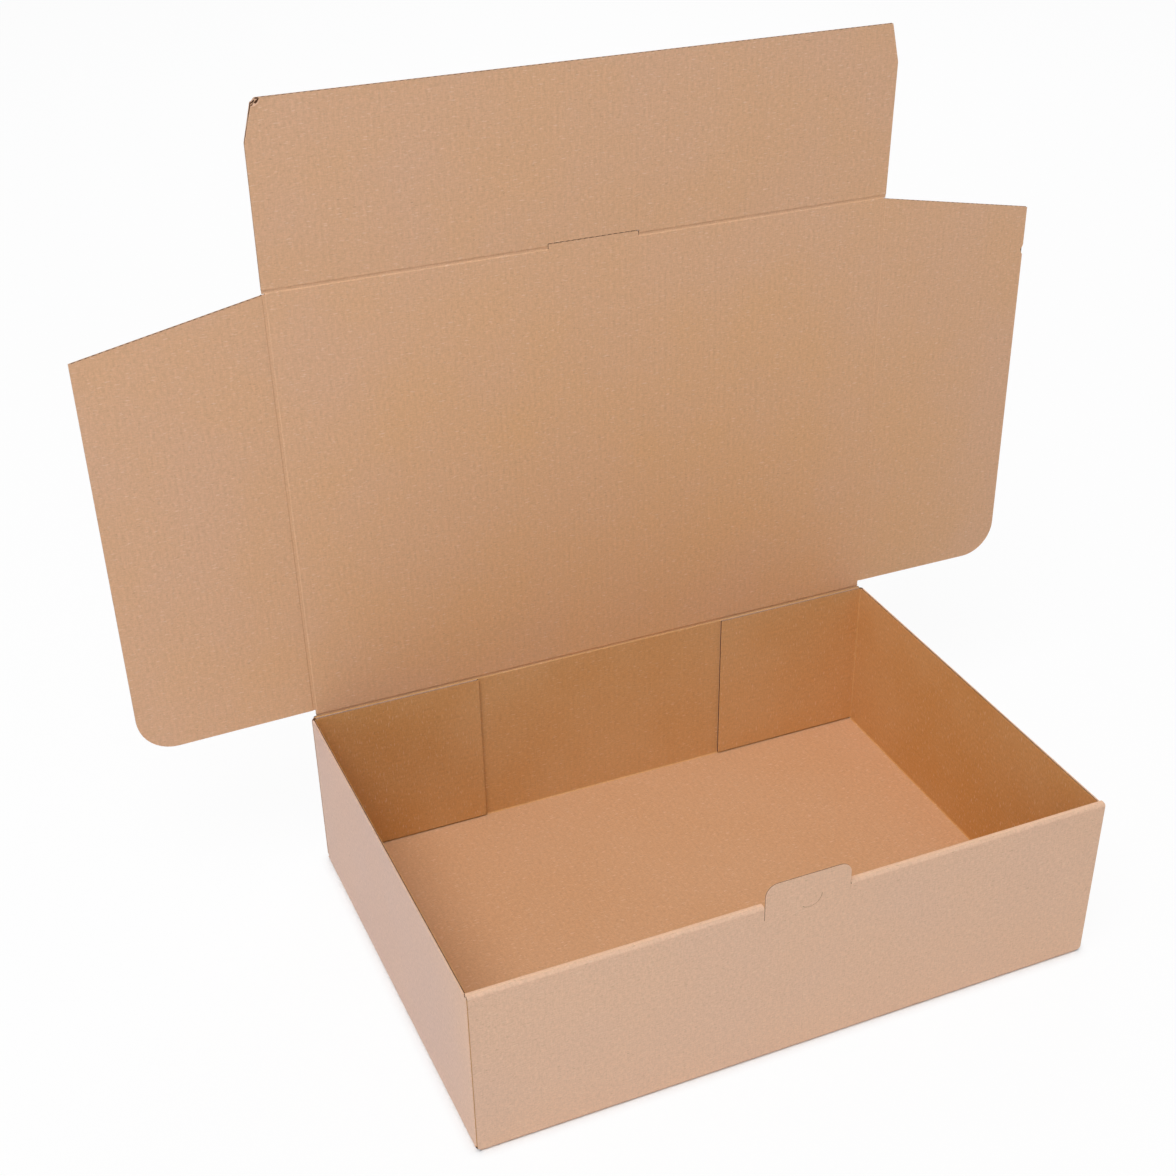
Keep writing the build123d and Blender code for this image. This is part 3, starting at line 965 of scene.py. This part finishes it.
# The band's paler copy of the outer liner is a painted highlight.
band_paper_painted_highlight = kraft("kraft_rolled_band_painted_highlight", (0.930, 0.615, 0.425, 1), (0.915, 0.590, 0.385, 1), 0.05)
# The tray's inside finishes are darker, more orange copies of the inner liner: painted shade and painted
# bounce light.
tray_wall_paper_painted_shade = kraft("kraft_tray_wall_painted_shade", (0.745, 0.432, 0.196, 1), (0.675, 0.338, 0.108, 1), 0.13,
                        0.4, painted_light_place=(PAINTED_SHADE_IN_THE_TRAY, 0.08, 0.19))
tray_floor_paper_painted_shade = kraft("kraft_tray_floor_painted_shade", (0.708, 0.414, 0.230, 1), (0.694, 0.392, 0.203, 1), 0.10)

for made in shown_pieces():
    # The tray's inside takes the painted-shade copy of the inner liner.
    inside = tray_wall_paper_painted_shade if made == tray else inner_paper
    for finish in (inside, outer_paper, edge_paper_painted_shade, band_paper_painted_highlight, tray_floor_paper_painted_shade):
        made.data.materials.append(finish.data)

# %% [markdown]
# The box was photographed on white. The floor is nearly white to the camera and keeps a faint shadow,
# darker in a thin line where the box touches it. To the lamps it is a plain pale card, so that it sends
# no more light back up than paper would. Ambient occlusion finds the line at the foot of the box.

# %% The floor
FLOOR_HALF = 6.0
FLOOR_TONE, FLOOR_ROUGH, FLOOR_SHINE = (0.86, 0.86, 0.87, 1), 0.9, 0.1
SEEN_WHITE, CONTACT_WHITE = 0.93, 0.0
CONTACT_REACH, CONTACT_LEVELS = 0.006, (0.45, 0.90)
WHITE = (1, 1, 1, 1)


def seen_by_the_camera(nodes):
    """1 for what the camera sees directly, in a gloss or through glass, and 0 for light."""
    rays = ("Is Camera Ray", "Is Glossy Ray", "Is Transmission Ray")
    return sum(nodes.node("ShaderNodeLightPath", output=ray) for ray in rays)


def backdrop_floor():
    part = bmesh.new()
    bmesh.ops.create_grid(part, x_segments=1, y_segments=1, size=FLOOR_HALF)
    mesh = bpy.data.meshes.new("floor")
    part.to_mesh(mesh)
    part.free()
    made = bpy.data.objects.new("floor", mesh)
    bpy.context.scene.collection.objects.link(made)
    made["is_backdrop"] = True
    card = Material("floor_white")
    card.finish("Base Color", FLOOR_TONE)
    card.finish("Roughness", FLOOR_ROUGH)
    card.finish("Specular IOR Level", FLOOR_SHINE)
    glow = card.node("ShaderNodeEmission", None, {"Color": WHITE, "Strength": 1.0})
    open_air = card.node("ShaderNodeAmbientOcclusion", {"samples": 4}, {"Distance": CONTACT_REACH}, "AO")
    whiteness = open_air.between(*CONTACT_LEVELS) * (SEEN_WHITE - CONTACT_WHITE) + CONTACT_WHITE
    plain = Socket(card, card.surface.outputs[0])
    mixed = card.node("ShaderNodeMixShader", None,
                      {0: seen_by_the_camera(card) * whiteness, 1: plain, 2: glow})
    card.set(card.tree.nodes["Material Output"].inputs["Surface"], mixed)
    mesh.materials.append(card.data)


backdrop_floor()
print("floor", 2 * FLOOR_HALF, "m square")

# %% [markdown]
# The studio round the box is a weak cool light from everywhere. The camera sees plain white in its place.

# %% The sky
SKY_TONE, SKY_STRENGTH = (0.95, 0.97, 1.0, 1), 0.33

world = bpy.data.worlds.new("studio")
bpy.context.scene.world = world
world.use_nodes = True
sky = Nodes(world.node_tree)
fill = sky.tree.nodes["Background"]
sky.set(fill.inputs["Color"], SKY_TONE)
sky.set(fill.inputs["Strength"], SKY_STRENGTH)
white_sky = sky.node("ShaderNodeBackground", None, {"Color": WHITE})
shown = sky.node("ShaderNodeMixShader", None,
                 {0: seen_by_the_camera(sky), 1: Socket(sky, fill.outputs[0]), 2: white_sky})
sky.set(sky.tree.nodes["World Output"].inputs["Surface"], shown)
print("sky strength", SKY_STRENGTH)

# %% [markdown]
# The light is broad and soft. One large lamp overhead gives the band and the tray's floor their
# brightness, and a weaker one comes from the left. A small cool card stands low on the left: it lights
# the left wall from outside, and the wall keeps it off the inside. A weak lamp behind keeps the back
# from going dull. Each lamp is given by its place, what it faces, its size, its watts and its colour.

# %% The lamps
def lamp(name, position, target, size, watts, colour):
    light = bpy.data.lights.new(name, "AREA")
    light.shape, light.size, light.energy, light.color = "DISK", size, watts, colour
    made = bpy.data.objects.new(name, light)
    bpy.context.scene.collection.objects.link(made)
    made.location = position
    made.rotation_euler = (Vector(target) - Vector(position)).to_track_quat("-Z", "Y").to_euler()
    print(name, watts, "W")


lamp("overhead_softbox", (-1.0, -1.06, 3.0), (0, 0, 0.12), 2.25, 70.3, (1.0, 0.99, 0.98))
lamp("left_softbox", (-1.7, -1.3, 0.7), (0, 0, 0.15), 1.2, 4.6, (0.98, 0.99, 1.0))
lamp("back_fill", (0.9, 1.9, 1.5), (0, 0, 0.2), 1.5, 13.0, (1.0, 1.0, 1.0))
lamp("left_card", (-1.7, -0.1, 0.13), (0, 0, 0.1), 0.24, 2.1, (0.26, 0.53, 1.0))

# %% [markdown]
# The camera was found by fitting the box's known corners to where they lie in the photograph: where it
# stood, how it was turned, and its lens. The photograph is cropped off centre, which the shift repeats.

# %% Camera
CAMERA_AT = (-0.35561, -0.70666, 0.66197)
HEADING, TILT, ROLL_ANGLE = 24.834, 34.090, 0.157
LENS, SHIFT = 55.638, (-0.04963, 0.10876)
NEAREST, FURTHEST = 0.01, 50.0

camera = bpy.data.objects.new("camera", bpy.data.cameras.new("camera"))
bpy.context.scene.collection.objects.link(camera)
turned = Matrix.Rotation(radians(-HEADING), 4, "Z") @ Matrix.Rotation(radians(90 - TILT), 4, "X")
turned = turned @ Matrix.Rotation(radians(ROLL_ANGLE), 4, "Z")
camera.matrix_world = Matrix.Translation(CAMERA_AT) @ turned
camera.data.lens = LENS
camera.data.shift_x, camera.data.shift_y = SHIFT
camera.data.clip_start, camera.data.clip_end = NEAREST, FURTHEST
bpy.context.scene.camera = camera
bpy.context.scene.view_settings.view_transform = "Standard"
print("camera", round(Vector(CAMERA_AT).length, 2), "m from the tray's middle")

# %% [markdown]
# The finished model is measured, and its box is printed. It should be the same as the frame's box,
# because paper adds nothing to the folded board's outside.

# %% Sizes, and the end
low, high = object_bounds()
print("visual box", [round(v, 4) for v in (*low, *high)])
